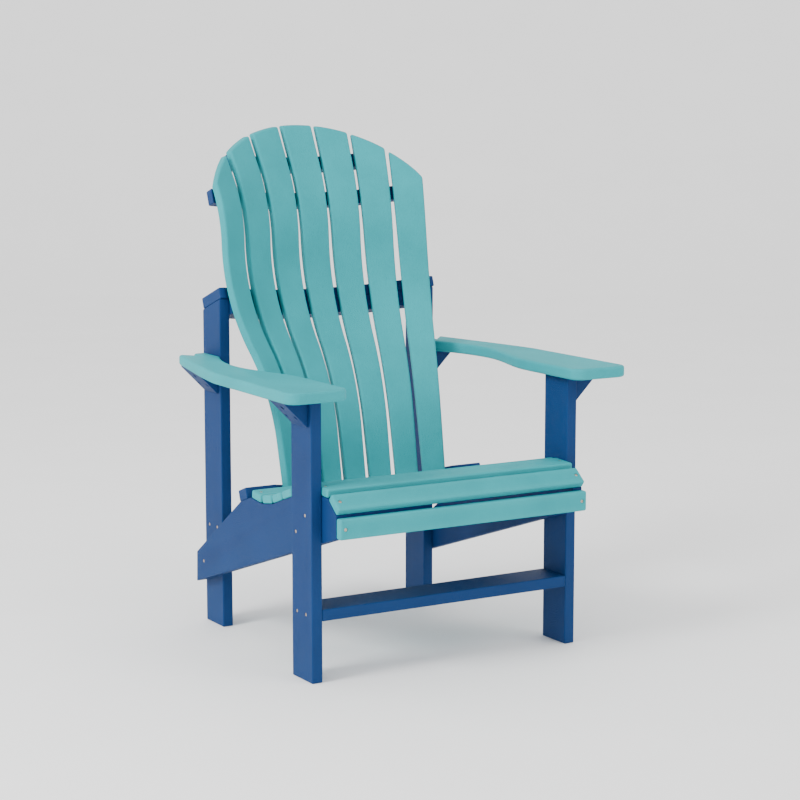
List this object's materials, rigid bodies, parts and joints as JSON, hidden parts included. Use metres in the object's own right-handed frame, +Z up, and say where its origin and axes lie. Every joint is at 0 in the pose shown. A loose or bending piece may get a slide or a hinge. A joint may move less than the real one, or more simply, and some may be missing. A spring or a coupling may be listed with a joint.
{
  "type": "adirondack chair",
  "caption": "Adirondack garden chair of poly lumber: tall arched fan back of curved slats, sloping slatted seat, wide flat arms on bracketed board legs",
  "frame": {"origin": "on the floor, at the middle of the chair's width and depth", "axes": "+Z up, the chair faces -Y, and the sitter's left is +X"},
  "size_m": [0.848, 0.7858, 1.15],
  "materials": {
    "aqua_boards": "satin poly lumber with a fine pebbled grain",
    "blue_boards": "satin poly lumber with a fine pebbled grain",
    "screws": "satin stainless"
  },
  "bodies": {
    "root": {"front_leg_left": "blue_boards", "front_leg_right": "blue_boards", "rear_post_left": "blue_boards", "rear_post_right": "blue_boards", "side_board_left": "blue_boards", "side_board_right": "blue_boards", "front_stretcher": "blue_boards", "rear_stretcher": "blue_boards", "seat_apron": "aqua_boards", "nose_slat": "aqua_boards", "seat_slat_1": "aqua_boards", "seat_slat_2": "aqua_boards", "seat_slat_3": "aqua_boards", "seat_slat_4": "aqua_boards", "seat_slat_5": "aqua_boards", "seat_slat_6": "aqua_boards", "seat_slat_7": "aqua_boards", "back_slat_1": "aqua_boards", "back_slat_2": "aqua_boards", "back_slat_3": "aqua_boards", "back_slat_4": "aqua_boards", "back_slat_5": "aqua_boards", "back_slat_6": "aqua_boards", "back_slat_7": "aqua_boards", "lower_back_rail": "blue_boards", "mid_back_rail": "blue_boards", "mid_back_brace": "blue_boards", "top_back_rail": "blue_boards", "upper_back_cleat": "blue_boards", "arm_left": "aqua_boards", "arm_right": "aqua_boards", "front_bracket_left": "blue_boards", "front_bracket_right": "blue_boards", "rear_bracket_left": "blue_boards", "rear_bracket_right": "blue_boards", "leg_screws": "screws", "stretcher_screws": "screws", "post_screws": "screws", "front_slat_screws": "screws", "seat_screws": "screws", "rail_screws": "screws", "back_screws": "screws", "bracket_screws": "screws"}
  },
  "joints": []
}
